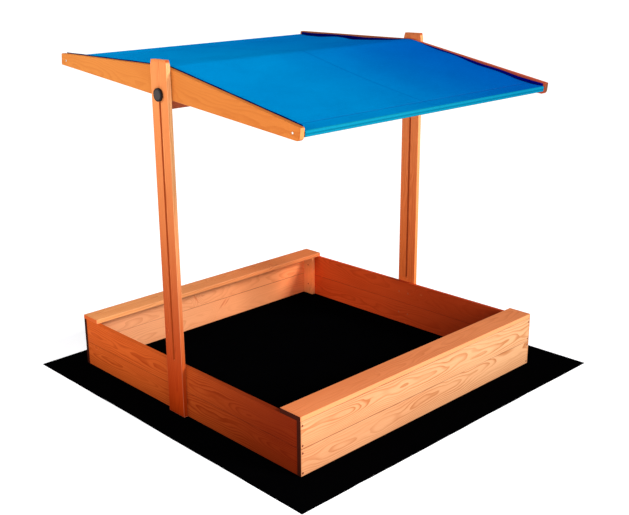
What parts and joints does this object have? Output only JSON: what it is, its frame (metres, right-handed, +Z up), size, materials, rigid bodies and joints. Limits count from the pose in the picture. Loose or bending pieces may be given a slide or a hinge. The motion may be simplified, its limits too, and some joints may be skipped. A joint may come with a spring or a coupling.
{
  "type": "sandbox with adjustable canopy cover",
  "caption": "Square wooden sandbox with seat boards and a fabric roof between slotted posts that slides down and closes the box as a cover.",
  "frame": {"origin": "middle of the ground sheet's underside, on the ground", "axes": "+X from the left post to the right post, +Y to the back, +Z up; the front edge of the roof is the lower one"},
  "size_m": [1.49, 1.49, 1.2065],
  "materials": {
    "stained_wood": "orange-brown stain, satin",
    "dowel_wood": "plain beech",
    "canvas": "blue coated polyester weave",
    "weed_membrane": "black nonwoven",
    "knob_plastic": "black, fine texture",
    "zinc_screws": "zinc plated",
    "zinc_hardware": "zinc plated",
    "brass": "turned"
  },
  "bodies": {
    "sandbox": {"ground_sheet": "weed_membrane", "front_lower_board": "stained_wood", "back_lower_board": "stained_wood", "left_lower_board": "stained_wood", "right_lower_board": "stained_wood", "front_upper_board": "stained_wood", "back_upper_board": "stained_wood", "left_upper_board": "stained_wood", "right_upper_board": "stained_wood", "front_seat": "stained_wood", "back_seat": "stained_wood", "seat_dowels": "dowel_wood", "front_left_corner_batten": "stained_wood", "front_right_corner_batten": "stained_wood", "back_left_corner_batten": "stained_wood", "back_right_corner_batten": "stained_wood", "left_post": "stained_wood", "right_post": "stained_wood", "corner_screws": "zinc_screws", "batten_screws": "zinc_screws", "post_screws": "zinc_screws"},
    "pivot_carriage": {"left_pivot_bolt": "zinc_hardware", "right_pivot_bolt": "zinc_hardware", "pivot_washers": "zinc_hardware"},
    "roof": {"left_arm": "stained_wood", "right_arm": "stained_wood", "front_batten": "stained_wood", "back_batten": "stained_wood", "ridge_bar": "stained_wood", "cross_beam": "stained_wood", "canopy": "canvas", "roof_screws": "zinc_screws"},
    "left_washer": {"left_knob_washer": "zinc_hardware"},
    "left_knob": {"left_knob": "knob_plastic", "left_knob_insert": "brass"},
    "right_washer": {"right_knob_washer": "zinc_hardware"},
    "right_knob": {"right_knob": "knob_plastic", "right_knob_insert": "brass"}
  },
  "joints": [
    {"name": "roof_lift", "type": "slide", "parent": "sandbox", "child": "pivot_carriage", "axis": [0, 0, 1], "range_m": [-0.8852, 0]},
    {"name": "roof_tilt", "type": "hinge", "parent": "pivot_carriage", "child": "roof", "pos_m": [0, 0, 1.0995], "axis": [1, 0, 0], "range_deg": [-6, 0]},
    {"name": "left_knob_travel", "type": "slide", "parent": "pivot_carriage", "child": "left_washer", "axis": [-1, 0, 0], "range_m": [0, 0.00187]},
    {"name": "left_knob_turn", "type": "hinge", "parent": "left_washer", "child": "left_knob", "pos_m": [-0.62, 0, 1.0995], "axis": [-1, 0, 0], "range_deg": [0, 540]},
    {"name": "right_knob_travel", "type": "slide", "parent": "pivot_carriage", "child": "right_washer", "axis": [1, 0, 0], "range_m": [0, 0.00187]},
    {"name": "right_knob_turn", "type": "hinge", "parent": "right_washer", "child": "right_knob", "pos_m": [0.62, 0, 1.0995], "axis": [1, 0, 0], "range_deg": [0, 540]}
  ],
  "couplings": [
    {"joint": "roof_tilt", "follows": "roof_lift", "rad_per_m": 0.1183},
    {"joint": "left_knob_travel", "follows": "left_knob_turn", "m_per_rad": 0.00019894},
    {"joint": "right_knob_travel", "follows": "right_knob_turn", "m_per_rad": 0.00019894}
  ]
}
